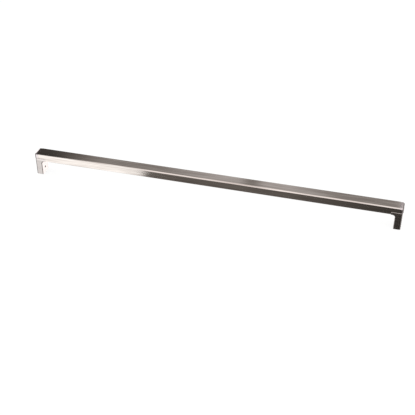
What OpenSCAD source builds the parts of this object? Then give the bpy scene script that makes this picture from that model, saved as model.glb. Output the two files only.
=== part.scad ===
// Refrigerator door handle: a stainless grip tube, closed by two end caps and carried by two cast posts.
// Millimetres. X runs along the grip, Y from its front face to its back face, Z away from the door.
// The origin is midway between the two feet, on the door's surface.

/* [Grip tube] */
// Overall length of the handle, over its end caps
handle_len = 738.2; // [250:0.1:1100]
// Depth of the grip's section along Y
grip_w = 25.4; // [21:0.1:40]
// Height of the grip's section along Z
grip_h = 16.8; // [14:0.1:24]
// Outside radius of the tube's long edges, and of the legs' outer edges
edge_r = 2.8; // [2:0.1:4]
// Wall of the tube
tube_wall = 1.5; // [0.9:0.1:1.8]
// Gap left along the line where one piece meets the next
seam_gap = 0.15; // [0.05:0.05:0.4]

/* [End caps] */
// Length of a cap that shows past the end of the tube
cap_len = 7.8; // [5:0.1:10]
// Rounding of a cap's outer edges
cap_edge_r = 3.8; // [2:0.1:4.4]
// Reach of a cap's plug inside the tube, from the end of the handle
plug_len = 30; // [22:0.5:50]

/* [End posts] */
// Height of the handle's outer face above the door
stand_off = 47.3; // [38:0.1:80]
// Distance that a cap stands out past the leg below it
leg_inset = 0.8; // [0.1:0.1:1.5]
// Thickness of a leg along the handle
leg_t = 13.7; // [12.8:0.1:20]
// Inside radius between a leg and the underside of the grip
knee_r = 5; // [3.5:0.5:7]
// Reach of the shoulder that is let into the tube, from the leg's outer face
shoulder_len = 21.5; // [19.5:0.1:28]
// Height of the shoulder above the underside of the grip
shoulder_h = 6.5; // [4.5:0.1:8]
// Rounding of the inner edges of the leg, the knee and the underside of the shoulder
inner_edge_r = 1; // [0.3:0.1:1.5]
// Rounding of the post's upper edge, along the line where it meets the tube and the cap
shoulder_edge_r = 1.4; // [0.4:0.1:1.4]

/* [Plug and tongue inside the tube] */
// Reach of a post's tongue inside the tube, from the leg's outer face
tongue_len = 36; // [31:0.5:60]
// Clearance between the plug or the tongue and the inside of the tube
fit_gap = 0.2; // [0.05:0.05:0.4]
// Slope at their tips that leads them into the tube
tip_lead = 1.5; // [0.5:0.1:2.5]
// Width of each locating rib
rib_w = 2; // [1:0.1:3]
// Distance between the two ribs on the top of the plug
rib_pitch = 12; // [8:0.5:13]

/* [Door studs and set screws] */
// Bore of the socket that takes a door stud
stud_bore_d = 6.5; // [5:0.1:6.8]
// Depth of the stud socket above the foot
stud_bore_depth = 18; // [16:0.5:22]
// Countersink at the mouth of the socket
stud_lead = 0.6; // [0.2:0.1:1.2]
// Height of the set screw above the foot
screw_z = 11.2; // [8:0.1:13]
// Thread diameter of the set screw
screw_d = 4; // [3:0.5:5]
// Length of the set screw
screw_len = 3; // [2:0.1:3]
// Distance between the set screw's end and the socket's wall
screw_back_off = 0.1; // [0.05:0.05:0.3]
// Radial clearance round the set screw's thread
screw_gap = 0.05; // [0.02:0.01:0.1]
// Countersink at the mouth of the screw hole
screw_lead = 0.3; // [0.1:0.05:0.5]
// Hexagon socket of the set screw, across its flats
hex_af = 2; // [1.3:0.1:2.5]
// Depth of the hexagon socket
hex_depth = 1.5; // [0.8:0.1:1.8]
// Depth of the hollow in the set screw's cup point
cup_depth = 0.4; // [0.2:0.1:0.6]

/* [Hidden] */
$fn = 64;
tiny = 0.01;
half_len = handle_len / 2;
half_w = grip_w / 2;
underside = stand_off - grip_h;
ledge_z = underside + shoulder_h;
joint_z = ledge_z + seam_gap;
knee_z = underside - knee_r;
tube_x = half_len - cap_len - seam_gap;
bore_w = grip_w - 2 * tube_wall;
bore_h = grip_h - 2 * tube_wall;
bore_r = edge_r - tube_wall;
plug_w = bore_w - 2 * fit_gap;
plug_top = stand_off - tube_wall - fit_gap;
plug_r = max(bore_r - fit_gap, 0.3);
tongue_bottom = underside + tube_wall + fit_gap;
stud_x = leg_t / 2;
screw_outer_x = stud_x + stud_bore_d / 2 + screw_back_off + screw_len;
cup_floor_d = 0.5;
cup_mouth_d = 0.6 * screw_d;
steel = "#8a8580";
cast_steel = "#9b949a";
cap_steel = "#aaa3ab";
screw_steel = "#5e5b58";

// Rectangle with four round corners, its lower left corner at the origin.
module soft_rect(width, height, r) {
    translate([r, 0]) square([width - 2 * r, height]);
    translate([0, r]) square([width, height - 2 * r]);
    for (cx = [r, width - r], cy = [r, height - r]) translate([cx, cy]) circle(r);
}

// Turns an outline drawn in Y and Z into a bar along X, starting at x0.
module along_x(x0, length) {
    translate([x0, 0, 0]) rotate([90, 0, 90]) linear_extrude(length) children();
}

// Square corner less its quarter circle: what a rounding of radius r takes off an edge.
module edge_waste(r) {
    difference() {
        translate([-1, -1]) square([r + 1, r + 1]);
        translate([r, r]) circle(r);
    }
}

// Outline of the grip's section, in Y and Z.
module grip_outline() {
    translate([-half_w, underside]) soft_rect(grip_w, grip_h, edge_r);
}

// Space that one post's shoulder takes out of the tube, drawn at the end of the handle at x = 0.
module shoulder_notch() {
    translate([-1, -half_w - 1, underside - 1])
        cube([leg_inset + shoulder_len + seam_gap + 1, grip_w + 2, joint_z - underside + 1]);
}

// Rectangular tube with a notch in its underside at each end.
module grip_tube() {
    color(steel)
    difference() {
        along_x(-tube_x, 2 * tube_x) difference() {
            grip_outline();
            translate([-bore_w / 2, underside + tube_wall]) soft_rect(bore_w, bore_h, bore_r);
        }
        for (end = [0, 1]) mirror([end, 0, 0]) translate([-half_len, 0, 0]) shoulder_notch();
    }
}

// Section of the leg, in X and Y: its two outer corners follow the grip, its two inner corners are crisp.
module leg_outline() {
    difference() {
        translate([0, -half_w]) square([leg_t, grip_w]);
        for (side = [0, 1]) mirror([0, side]) {
            translate([0, -half_w]) edge_waste(edge_r);
            translate([leg_t, -half_w]) mirror([1, 0]) edge_waste(inner_edge_r);
        }
    }
}

// Profile of the post's outer rim over the leg, its upper outer corner rounded.
module rim_profile() {
    difference() {
        square([edge_r, ledge_z - knee_z]);
        translate([edge_r, ledge_z - knee_z]) rotate(180) edge_waste(shoulder_edge_r);
    }
}

// Upright of a post: the leg, and the rim that carries its outer edges on up to the cap.
module upright() {
    flat_w = grip_w - 2 * edge_r;
    linear_extrude(knee_z) leg_outline();
    for (side = [0, 1]) mirror([0, side, 0]) translate([edge_r, -flat_w / 2, knee_z])
        rotate([0, 0, 180]) rotate_extrude(angle = 90) rim_profile();
    translate([edge_r, flat_w / 2, knee_z]) rotate([90, 0, 0]) linear_extrude(flat_w)
        mirror([1, 0]) rim_profile();
}

// Knee: the leg opens into the shoulder round knee_r, and its crisp edges follow the curve.
module knee() {
    knee_x = leg_t + knee_r;
    difference() {
        translate([edge_r, -half_w, knee_z]) cube([knee_x - edge_r, grip_w, knee_r + inner_edge_r]);
        translate([knee_x, -half_w - 1, knee_z]) rotate([-90, 0, 0]) cylinder(h = grip_w + 2, r = knee_r);
        for (side = [0, 1]) mirror([0, side, 0]) translate([knee_x, -half_w, knee_z])
            rotate([-90, 0, 0]) rotate([0, 0, 180]) rotate_extrude(angle = 90)
                translate([knee_r, 0]) edge_waste(inner_edge_r);
    }
}

// Shoulder: fills the notch in the tube, flush with the grip, with crisp lower and rounded upper edges.
module shoulder() {
    along_x(edge_r, shoulder_len - edge_r) difference() {
        translate([-half_w, underside]) square([grip_w, shoulder_h]);
        for (side = [0, 1]) mirror([side, 0]) {
            translate([-half_w, underside]) edge_waste(inner_edge_r);
            translate([-half_w, ledge_z]) mirror([0, 1]) edge_waste(shoulder_edge_r);
        }
    }
}

// Section inside the tube between two heights, in Y and Z, clear of the tube's walls.
module inner_outline(z0, z1) {
    intersection() {
        translate([-plug_w / 2, tongue_bottom]) soft_rect(plug_w, plug_top - tongue_bottom, plug_r);
        translate([-half_w, z0]) square([grip_w, z1 - z0]);
    }
}

// Bar inside the tube from x0 to x1, its tip sloped on both sides.
module inner_bar(x0, x1, z0, z1) {
    difference() {
        along_x(x0, x1 - x0) inner_outline(z0, z1);
        for (side = [0, 1]) mirror([0, side, 0]) translate([x1, -plug_w / 2, 0]) rotate([0, 0, 45])
            translate([-2 * tip_lead, -tip_lead * sqrt(2) / 2 - grip_h, z0 - 1])
            cube([4 * tip_lead, tip_lead * sqrt(2) / 2 + grip_h, z1 - z0 + 2]);
    }
}

// One rib on each side of a bar inside the tube, bearing on the tube's side walls.
module side_ribs(x0, x1, z) {
    for (side = [0, 1]) mirror([0, side, 0]) translate([x0, plug_w / 2 - tiny, z - rib_w / 2])
        cube([x1 - x0, fit_gap + tiny, rib_w]);
}

// Tongue of a post: reaches on from the shoulder, over the tube's lower wall.
module tongue() {
    rib_x = shoulder_len + seam_gap + 1;
    inner_bar(shoulder_len - 1, tongue_len, tongue_bottom, ledge_z);
    side_ribs(rib_x, tongue_len - tip_lead, (tongue_bottom + ledge_z) / 2);
}

// Plug of a cap: lies over the post and its tongue, with ribs under the tube's upper wall too.
module plug() {
    rib_x = cap_len + seam_gap + 1;
    rib_end = plug_len - tip_lead;
    inner_bar(cap_len - 1, plug_len, joint_z, plug_top);
    side_ribs(rib_x, rib_end, (joint_z + plug_top) / 2);
    for (y = [-rib_pitch / 2, rib_pitch / 2]) translate([rib_x, y - rib_w / 2, plug_top - tiny])
        cube([rib_end - rib_x, rib_w, fit_gap + tiny]);
}

// Head of a cap: closes the end of the tube above the post, with its outer edges rounded.
module cap_head() {
    r = cap_edge_r;
    flat_w = grip_w - 2 * r;
    round_z = stand_off - r;
    for (y = [-flat_w / 2, flat_w / 2]) {
        translate([r, y, joint_z]) cylinder(h = round_z - joint_z, r = r);
        translate([r, y, round_z]) sphere(r);
        translate([r, y, round_z]) rotate([0, 90, 0]) cylinder(h = cap_len - r, r = r);
    }
    translate([r, -flat_w / 2, round_z]) rotate([-90, 0, 0]) cylinder(h = flat_w, r = r);
    translate([r, -flat_w / 2, joint_z]) cube([cap_len - r, flat_w, stand_off - joint_z]);
    translate([0, -flat_w / 2, joint_z]) cube([cap_len, flat_w, round_z - joint_z]);
    translate([r, -half_w, joint_z]) cube([cap_len - r, grip_w, round_z - joint_z]);
}

// One end cap, drawn with its outer end at x = 0 and reaching along +X.
module cap_body() {
    color(cap_steel) union() {
        cap_head();
        plug();
    }
}

// Blind socket for the door stud, opening at the foot.
module stud_socket() {
    translate([stud_x, 0, -1]) cylinder(h = stud_bore_depth + 1, d = stud_bore_d);
    translate([stud_x, 0, -tiny])
        cylinder(h = stud_lead + tiny, d1 = stud_bore_d + 2 * (stud_lead + tiny), d2 = stud_bore_d);
}

// Hole for the set screw, from the leg's inner face into the stud socket.
module screw_hole() {
    hole_d = screw_d + 2 * screw_gap;
    translate([stud_x, 0, screw_z]) rotate([0, 90, 0]) cylinder(h = leg_t - stud_x + 1, d = hole_d);
    translate([leg_t - screw_lead, 0, screw_z]) rotate([0, 90, 0])
        cylinder(h = screw_lead + tiny, d1 = hole_d, d2 = hole_d + 2 * (screw_lead + tiny));
}

// One end post, reaching along +X from under the cap's outer end at x = 0.
module post_body() {
    color(cast_steel)
    translate([leg_inset, 0, 0])
    difference() {
        union() {
            upright();
            knee();
            shoulder();
            tongue();
        }
        stud_socket();
        screw_hole();
    }
}

// One hexagon-socket set screw with a cup point, in its post, its socket facing +X.
module screw_body() {
    hex_d = hex_af / cos(30);
    color(screw_steel)
    translate([leg_inset + screw_outer_x, 0, screw_z]) rotate([0, -90, 0])
    difference() {
        cylinder(h = screw_len, d = screw_d);
        translate([0, 0, -tiny]) cylinder(h = hex_depth + tiny, d = hex_d, $fn = 6);
        translate([0, 0, screw_len - cup_depth]) cylinder(h = cup_depth + tiny, d1 = cup_floor_d, d2 = cup_mouth_d);
    }
}

module at_left() {
    translate([-half_len, 0, 0]) children();
}

module at_right() {
    mirror([1, 0, 0]) at_left() children();
}

module end_cap_left() {
    at_left() cap_body();
}

module end_cap_right() {
    at_right() cap_body();
}

module end_post_left() {
    at_left() post_body();
}

module end_post_right() {
    at_right() post_body();
}

module set_screw_left() {
    at_left() screw_body();
}

module set_screw_right() {
    at_right() screw_body();
}

grip_tube();
end_cap_left();
end_cap_right();
end_post_left();
end_post_right();
set_screw_left();
set_screw_right();
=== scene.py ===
import math
import bpy
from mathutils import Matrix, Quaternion, Vector

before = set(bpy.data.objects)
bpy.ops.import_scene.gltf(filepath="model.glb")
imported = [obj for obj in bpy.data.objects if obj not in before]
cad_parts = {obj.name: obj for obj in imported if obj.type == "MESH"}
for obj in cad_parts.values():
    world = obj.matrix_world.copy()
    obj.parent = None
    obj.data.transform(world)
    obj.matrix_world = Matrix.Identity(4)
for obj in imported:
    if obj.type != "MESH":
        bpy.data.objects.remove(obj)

scene = bpy.context.scene
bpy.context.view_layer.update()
print("frame loaded:", sorted(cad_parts))

millimetre = 0.001
noiseDetail = 2.0  # octaves in every noise pattern
plainWhite = (1, 1, 1, 1)


def linear(hexColour):  # sRGB hex, such as "#8a8580", to linear RGBA, by the sRGB standard's own curve
    parts = [int(hexColour[i:i + 2], 16) / 255 for i in (1, 3, 5)]
    return tuple(c / 12.92 if c <= 0.04045 else ((c + 0.055) / 1.055) ** 2.4 for c in parts) + (1.0,)


# Short names for the nodes that come up most. Each has Blender's name for the node, its settings,
# the sockets that values go to, and its output
shortNodes = {
    "fade": ("ShaderNodeMapRange", {"interpolation_type": "SMOOTHSTEP"},
             ("Value", "From Min", "From Max", "To Min", "To Max"), "Result"),
    "mix": ("ShaderNodeMix", {"data_type": "FLOAT"}, ("Factor_Float", "A_Float", "B_Float"), "Result_Float"),
    "mixColour": ("ShaderNodeMix", {"data_type": "RGBA"},
                  ("Factor_Float", "A_Color", "B_Color"), "Result_Color"),
    "mixVector": ("ShaderNodeMix", {"data_type": "VECTOR"},
                  ("Factor_Float", "A_Vector", "B_Vector"), "Result_Vector"),
    "split": ("ShaderNodeSeparateXYZ", {}, ("Vector",), None),
}
for operation in ("ADD", "SUBTRACT", "MULTIPLY", "ABSOLUTE", "ARCTAN2"):
    shortNodes[operation.lower()] = ("ShaderNodeMath", {"operation": operation},
                                     ("Value", "Value_001"), "Value")


def addNode(tree, kind, *values, inputs=None, settings=None, output=None):
    # a value is a number, a colour or another node's output
    # what comes back is the node's output, or the node itself where no output is named
    kind, fixed, names, shortOutput = shortNodes.get(kind, (kind, {}, (), None))
    node = tree.nodes.new(kind)
    for name, value in {**fixed, **(settings or {})}.items():
        setattr(node, name, value)
    sockets = {socket.identifier: socket for socket in node.inputs}
    for name, value in {**dict(zip(names, values)), **(inputs or {})}.items():
        if isinstance(value, bpy.types.NodeSocket):
            tree.links.new(value, sockets[name])
        else:
            sockets[name].default_value = value
    outputs = {socket.identifier: socket for socket in node.outputs}
    return outputs.get(output or shortOutput, node)


def newMaterial(name):
    material = bpy.data.materials.new(name)
    material.use_nodes = True
    material.node_tree.nodes.clear()
    return material, material.node_tree


# Camera: where the photograph was taken from, worked out from the bar's edges

cameraSettings = {
    "position": (0.3487, -1.2898, 0.8989),  # metres, in the handle's own frame
    "yaw": -15.45,  # degrees from +Y towards +X
    "pitch": 34.69,  # degrees below the horizon
    "roll": 0.08,
    "focalPixels": 815.8,  # in the photograph's 415 pixel frame
    "framePixels": 415,
    "sensorMm": 36.0,
    "nearest": 0.05,  # metres, between which things show
    "furthest": 40.0,
}


def makeCamera(s):
    data = bpy.data.cameras.new("photoCamera")
    data.sensor_width = s["sensorMm"]
    data.lens = s["sensorMm"] * s["focalPixels"] / s["framePixels"]
    data.clip_start = s["nearest"]
    data.clip_end = s["furthest"]
    camera = bpy.data.objects.new("photoCamera", data)
    scene.collection.objects.link(camera)
    yaw, pitch = math.radians(s["yaw"]), math.radians(s["pitch"])
    forward = Vector((math.sin(yaw) * math.cos(pitch), math.cos(yaw) * math.cos(pitch), -math.sin(pitch)))
    camera.location = s["position"]
    camera.rotation_mode = "QUATERNION"
    level = forward.to_track_quat("-Z", "Y")
    camera.rotation_quaternion = level @ Quaternion((0, 0, 1), math.radians(s["roll"]))
    scene.camera = camera


makeCamera(cameraSettings)
print("camera placed")


# Brushed stainless steel: long fine scratches that smear reflections across the grain and hardly along it

tubeFinish = {
    "steel": "#dad0ca",
    "steelDark": "#b3a7a1",
    "roughness": 0.075,
    "anisotropy": 1.0,
    "grainMm": 0.3,  # real scratches are about 0.05 mm wide, too fine to show
    "grainLengthMm": 80.0,
    "streakMm": 2.5,  # width of the paler and darker streaks that the belt leaves
    "scratchMm": 0.004,  # how deep the scratches are
}

# The caps are satin stainless steel: a little darker and softer than the tube, and faintly violet beside it
capFinish = {
    "steel": "#cabfbf",
    "steelDark": "#beb3b3",
    "roughness": 0.14,
    "roughnessEnd": 0.2,  # on a cap's end face
    "anisotropy": 0.95,
    "grainMm": 0.3,
    "grainLengthMm": 20.0,
    "streakMm": 1.5,
    "scratchMm": 0.008,
}

# The posts are castings brushed by hand: darker and duller than the tube, with shorter scratches
postFinish = {
    "steel": "#b3aaa7",
    "steelDark": "#a69d9a",
    "shoulder": "#c6bcb9",  # painted highlight: the top of the leg is painted paler than the rest, for the light that its rounded shoulder edge catches from above
    "shoulderDark": "#b7aeaa",
    "shoulderMm": (31.5, 33.5),  # heights between which the leg's tone turns into the painted highlight's
    "roughness": 0.16,
    "roughnessEnd": 0.12,  # on a leg's end face and inner face
    "anisotropy": 0.95,
    "grainMm": 0.3,
    "grainLengthMm": 20.0,
    "streakMm": 1.5,
    "scratchMm": 0.008,
}

# How the brushing is drawn on all of them
brushing = {
    "noiseRoughness": 0.5,
    "streakShare": 0.9,  # of the tone, while the rest of it follows the fine scratches
    "darkBelow": 0.35,  # pattern heights at which the steel has its darker and its paler tone
    "paleAbove": 0.65,
    "endFace": (0.75, 0.95),  # how far along the handle a normal points where an end face begins, and is full
}


def grainPattern(tree, place, along, finish, width):
    # noise squeezed to the grain's width on two axes and drawn out to its length on the third
    scale = [1 / (finish[width] * millimetre)] * 3
    scale["XYZ".index(along)] = 1 / (finish["grainLengthMm"] * millimetre)
    squeezed = addNode(tree, "ShaderNodeMapping", inputs={"Vector": place, "Scale": scale}, output="Vector")
    return addNode(tree, "ShaderNodeTexNoise", output="Fac",
                   inputs={"Vector": squeezed, "Scale": 1.0, "Detail": noiseDetail,
                           "Roughness": brushing["noiseRoughness"]})


def streaks(tree, tone, dark, pale):
    ramp = addNode(tree, "ShaderNodeValToRGB", inputs={"Fac": tone})
    low, high = ramp.color_ramp.elements
    low.position, low.color = brushing["darkBelow"], linear(dark)
    high.position, high.color = brushing["paleAbove"], linear(pale)
    return ramp.outputs["Color"]


def brushedSteel(name, finish, grain, across):
    # grain gives the scratches' height, and across the direction square to them
    material, tree = newMaterial(name)
    height = grain(tree, finish, "grainMm")
    tone = addNode(tree, "mix", brushing["streakShare"], height, grain(tree, finish, "streakMm"))
    colour = streaks(tree, tone, finish["steelDark"], finish["steel"])
    # painted highlight: a post's leg turns to a paler tone near its top, for the light that its shoulder
    # catches
    if "shoulder" in finish:
        place = addNode(tree, "ShaderNodeTexCoord", output="Object")
        low, high = (mm * millimetre for mm in finish["shoulderMm"])
        above = addNode(tree, "fade", addNode(tree, "split", place).outputs["Z"], low, high, 0.0, 1.0)
        shoulder = streaks(tree, tone, finish["shoulderDark"], finish["shoulder"])
        colour = addNode(tree, "mixColour", above, colour, shoulder)
    bump = addNode(tree, "ShaderNodeBump", output="Normal",
                   inputs={"Height": height, "Strength": 1.0, "Distance": finish["scratchMm"] * millimetre})
    steel = addNode(tree, "ShaderNodeBsdfPrincipled",
                    inputs={"Base Color": colour, "Metallic": 1.0, "Roughness": finish["roughness"],
                            "Anisotropic": finish["anisotropy"], "Normal": bump, "Tangent": across(tree)})
    if "roughnessEnd" in finish:
        rough = addNode(tree, "mix", endFace(tree), finish["roughness"], finish["roughnessEnd"])
        tree.links.new(rough, steel.inputs["Roughness"])
    addNode(tree, "ShaderNodeOutputMaterial", inputs={"Surface": steel.outputs["BSDF"]})
    return material


def endFace(tree):  # 1 where the surface faces along the handle, either way
    normal = addNode(tree, "ShaderNodeNewGeometry", output="Normal")
    alongHandle = addNode(tree, "absolute", addNode(tree, "split", normal).outputs["X"])
    return addNode(tree, "fade", alongHandle, *brushing["endFace"], 0.0, 1.0)


def roundTheBar(tree):  # square to the handle's length, within the surface
    normal = addNode(tree, "ShaderNodeNewGeometry", output="Normal")
    return addNode(tree, "ShaderNodeVectorMath", settings={"operation": "CROSS_PRODUCT"}, output="Vector",
                   inputs={"Vector": normal, "Vector_001": (1, 0, 0)})


def tubeGrain(tree, finish, width):
    return grainPattern(tree, addNode(tree, "ShaderNodeTexCoord", output="Object"), "X", finish, width)


def postGrain(tree, finish, width):  # as on the tube, but up and down on a face that looks along the handle
    place = addNode(tree, "ShaderNodeTexCoord", output="Object")
    along, down = (grainPattern(tree, place, axis, finish, width) for axis in "XZ")
    return addNode(tree, "mix", endFace(tree), along, down)


def postAcross(tree):  # square to postGrain's scratches
    return addNode(tree, "mixVector", endFace(tree), roundTheBar(tree), (0, 1, 0))


def dress(node, material):
    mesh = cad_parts[node].data
    mesh.materials.clear()
    mesh.materials.append(material)


tubeSteel = brushedSteel("brushedStainlessTube", tubeFinish, tubeGrain, roundTheBar)
capSteel = brushedSteel("satinStainlessCap", capFinish, postGrain, postAcross)
postSteel = brushedSteel("brushedStainlessCasting", postFinish, postGrain, postAcross)
dress("grip_tube", tubeSteel)
for cap in ("end_cap_left", "end_cap_right"):
    dress(cap, capSteel)
for post in ("end_post_left", "end_post_right"):
    dress(post, postSteel)
print("tube, caps and posts dressed")


# Set screws: plain dark steel, turned and dull; their dark tone is also painted shade, standing in for the
# shadow inside their holes

screwFinish = {
    "steel": "#77726e",
    "roughness": 0.4,
    "roughnessVaries": 0.08,  # by this much either way
    "speckleMm": 0.4,  # a turned face's real grain is finer, and too fine to show
}


def darkSteel(name, finish):
    material, tree = newMaterial(name)
    place = addNode(tree, "ShaderNodeTexCoord", output="Object")
    speckle = addNode(tree, "ShaderNodeTexNoise", output="Fac",
                      inputs={"Vector": place, "Scale": 1 / (finish["speckleMm"] * millimetre),
                              "Detail": noiseDetail})
    smoothest, roughest = (finish["roughness"] + sign * finish["roughnessVaries"] for sign in (-1, 1))
    rough = addNode(tree, "ShaderNodeMapRange", output="Result",
                    inputs={"Value": speckle, "To Min": smoothest, "To Max": roughest})
    steel = addNode(tree, "ShaderNodeBsdfPrincipled", output="BSDF",
                    inputs={"Metallic": 1.0, "Base Color": linear(finish["steel"]), "Roughness": rough})
    addNode(tree, "ShaderNodeOutputMaterial", inputs={"Surface": steel})
    return material


# the screws' dark tone is partly their steel and partly painted shade for the holes they sit in
screwSteelAndPaintedHoleShade = darkSteel("darkScrewSteelAndPaintedHoleShade", screwFinish)
for screw in ("set_screw_left", "set_screw_right"):
    dress(screw, screwSteelAndPaintedHoleShade)
print("screws dressed")


# Floor and studio: a plain pale table, and a soft surround whose darker parts the steel mirrors

floorSettings = {
    "size": 14.0,
    "colour": "#747473",
    "glow": 0.88,  # the table is lit from inside, so the handle casts no shadow that shows
}


def makeFloor(s):
    half = s["size"] / 2
    corners = [(-half, -half, 0), (half, -half, 0), (half, half, 0), (-half, half, 0)]
    mesh = bpy.data.meshes.new("paleFloor")
    mesh.from_pydata(corners, [], [(0, 1, 2, 3)])
    floor = bpy.data.objects.new("paleFloor", mesh)
    scene.collection.objects.link(floor)
    material, tree = newMaterial("paleFloor")
    paint = addNode(tree, "ShaderNodeBsdfDiffuse", inputs={"Color": linear(s["colour"])}, output="BSDF")
    glow = addNode(tree, "ShaderNodeEmission", inputs={"Strength": s["glow"]}, output="Emission")
    lit = addNode(tree, "ShaderNodeAddShader", inputs={"Shader": paint, "Shader_001": glow}, output="Shader")
    addNode(tree, "ShaderNodeOutputMaterial", inputs={"Surface": lit})
    mesh.materials.append(material)
    floor.visible_glossy = False  # the steel mirrors the studio instead


makeFloor(floorSettings)

# The studio runs along the handle: a direction's place is its x, and its turn round the handle's axis
# in degrees, 0 behind the handle, 90 overhead, 180 in front and -90 underneath
studioSettings = {
    "paleLight": 1.0,  # what lights the floor and shows behind it
    "roof": 1.45,  # softbox overhead
    "roofBack": (52.0, 68.0),  # turns between which it begins behind the handle
    "roofFront": (168.0, 180.0),
    "roofRight": 0.88,  # it is dimmer at the right end, as a share of its light
    "roofRightFade": (-0.12, 0.0),
    "roofSlant": 95.0,  # its rear edge runs forward by this turn towards the left end
    "roofSlantPlace": (-0.42, -0.33),
    "backWall": 0.37,  # behind the handle
    "backDark": 0.07,  # its left end
    "backDarkEdge": (-0.41, -0.34),
    "backPale": 0.225,  # added where the wall is paler, from the first pair of places to the second
    "backPaleFrom": (-0.29, -0.2),
    "backPaleTo": (-0.13, -0.06),
    "backPost": 0.47,  # a dark upright in front of that wall, as a share of the light that it takes
    "backPostPlace": -0.171,
    "backPostWidth": 0.018,  # to either side
    "backWindow": 0.85,  # bright at the right
    "backWindowFrom": (0.002, 0.021),
    "backWindowTo": (0.28, 0.36),
    "backCard": 1.4,  # white card behind the left end, past its dark part
    "backCardFrom": (-0.8, -0.7),
    "backCardTo": (-0.5, -0.44),
    "frontCard": 1.62,  # white card at the front left
    "frontCardEdge": (-0.304, -0.296),
    "frontCardFade": (-0.345, -0.302),  # it darkens towards that edge
    "frontCardFaded": 0.86,  # to this share of its light
    "frontCardTop": (0.3, 0.45),  # the card's upper edge, as heights of a direction
    "frontCardAbove": 0.05,  # dark above it, where the softbox doesn't reach
    "frontDark": 0.175,  # dark room to the right of the card
    "frontDarkest": 0.072,
    "frontDarkFade": (-0.17, 0.02),
    "frontToBack": (-0.05, 0.05),  # y of a direction, where the front turns into the back
    "tableBehind": 0.6,  # the table behind the handle
    "tableEdge": (-14.0, 0.0),
    "tableCard": 2.8,  # a white card that lies on it at the right
    "tableCardFrom": (0.33, 0.37),
    "tableCardTo": (0.48, 0.52),
    "tableCardEdge": (-30.0, -24.0),
    "side": 0.42,  # past both ends
    "sideFrom": (0.5, 0.65),
    "darkTint": "#fffaf2",  # dark parts of the room are a little warm
    "darkTintTo": (0.06, 0.6),  # light from which it fades, and at which it is gone
    "cardTint": (1.0, 1.045, 1.05, 1.0),  # linear, as the front card is past white in green and blue
}


def between(tree, place, rise, fall):  # 1 from the first pair of places to the second
    risen = addNode(tree, "fade", place, *rise, 0.0, 1.0)
    return addNode(tree, "multiply", risen, addNode(tree, "fade", place, *fall, 1.0, 0.0))


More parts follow.
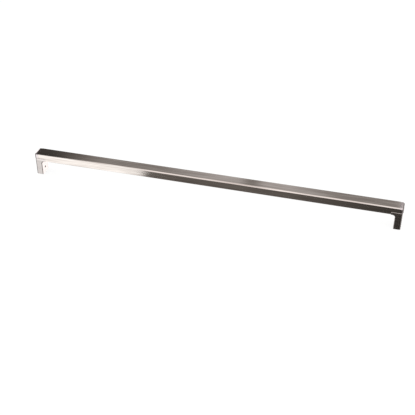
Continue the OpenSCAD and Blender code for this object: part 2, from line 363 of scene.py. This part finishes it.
def makeStudio(s):
    world = bpy.data.worlds.new("softStudio")
    world.use_nodes = True
    world.cycles.sampling_method = "NONE"
    tree = world.node_tree
    tree.nodes.clear()
    direction = addNode(tree, "split", addNode(tree, "ShaderNodeTexCoord", output="Generated"))
    x, y, z = (direction.outputs[axis] for axis in "XYZ")
    turn = addNode(tree, "multiply", addNode(tree, "arctan2", z, y), math.degrees(1))
    behind = addNode(tree, "fade", y, *s["frontToBack"], 0.0, 1.0)
    inFront = addNode(tree, "fade", y, *s["frontToBack"], 1.0, 0.0)

    # the wall behind the handle, with its paler part, its upright and its window
    wall = addNode(tree, "fade", x, *s["backDarkEdge"], s["backDark"], s["backWall"])
    pale = addNode(tree, "multiply", between(tree, x, s["backPaleFrom"], s["backPaleTo"]), s["backPale"])
    offPost = addNode(tree, "absolute", addNode(tree, "subtract", x, s["backPostPlace"]))
    lit = addNode(tree, "fade", offPost, 0.0, s["backPostWidth"], 1.0 - s["backPost"], 1.0)
    wall = addNode(tree, "multiply", addNode(tree, "add", wall, pale), lit)
    onWindow = between(tree, x, s["backWindowFrom"], s["backWindowTo"])
    wall = addNode(tree, "mix", onWindow, wall, s["backWindow"])

    # the table below that wall, with its card
    nearPart = addNode(tree, "fade", turn, *s["tableCardEdge"], 1.0, 0.0)
    onTableCard = addNode(tree, "multiply", between(tree, x, s["tableCardFrom"], s["tableCardTo"]), nearPart)
    table = addNode(tree, "mix", onTableCard, s["tableBehind"], s["tableCard"])
    back = addNode(tree, "mix", addNode(tree, "fade", turn, *s["tableEdge"], 0.0, 1.0), table, wall)

    # the front: a white card at the left, and the dark room
    dark = addNode(tree, "fade", x, *s["frontDarkFade"], s["frontDark"], s["frontDarkest"])
    faded = addNode(tree, "fade", x, *s["frontCardFade"], 1.0, s["frontCardFaded"])
    white = addNode(tree, "multiply", faded, s["frontCard"])
    aboveCard = addNode(tree, "fade", z, *s["frontCardTop"], 0.0, 1.0)
    white = addNode(tree, "mix", aboveCard, white, s["frontCardAbove"])
    front = addNode(tree, "mix", addNode(tree, "fade", x, *s["frontCardEdge"], 0.0, 1.0), white, dark)
    walls = addNode(tree, "mix", behind, front, back)

    # the softbox overhead
    slant = addNode(tree, "fade", x, *s["roofSlantPlace"], s["roofSlant"], 0.0)
    begun = addNode(tree, "fade", addNode(tree, "subtract", turn, slant), *s["roofBack"], 0.0, 1.0)
    roof = addNode(tree, "multiply", begun, addNode(tree, "fade", turn, *s["roofFront"], 1.0, 0.0))
    dimmed = addNode(tree, "fade", x, *s["roofRightFade"], 1.0, s["roofRight"])
    around = addNode(tree, "mix", roof, walls, addNode(tree, "multiply", dimmed, s["roof"]))

    # past the ends, and the card behind the left one
    pastEnds = addNode(tree, "fade", addNode(tree, "absolute", x), *s["sideFrom"], 0.0, 1.0)
    mirrored = addNode(tree, "mix", pastEnds, around, s["side"])
    onBackCard = addNode(tree, "multiply", between(tree, x, s["backCardFrom"], s["backCardTo"]), behind)
    mirrored = addNode(tree, "mix", onBackCard, mirrored, s["backCard"])

    # tints: the dark parts warm, and the front card cool
    bright = addNode(tree, "fade", mirrored, *s["darkTintTo"], 0.0, 1.0)
    tint = addNode(tree, "mixColour", bright, linear(s["darkTint"]), plainWhite)
    onCard = addNode(tree, "multiply", addNode(tree, "fade", x, *s["frontCardEdge"], 1.0, 0.0), inFront)
    tint = addNode(tree, "mixColour", onCard, tint, s["cardTint"])

    # the studio shows only in what the steel mirrors, and all else gets an even white light
    glossy = addNode(tree, "ShaderNodeLightPath", output="Is Glossy Ray")
    light = addNode(tree, "ShaderNodeBackground", output="Background",
                    inputs={"Color": addNode(tree, "mixColour", glossy, plainWhite, tint),
                            "Strength": addNode(tree, "mix", glossy, s["paleLight"], mirrored)})
    addNode(tree, "ShaderNodeOutputWorld", inputs={"Surface": light})
    scene.world = world
    scene.view_settings.view_transform = "Standard"


makeStudio(studioSettings)
print("studio lit")
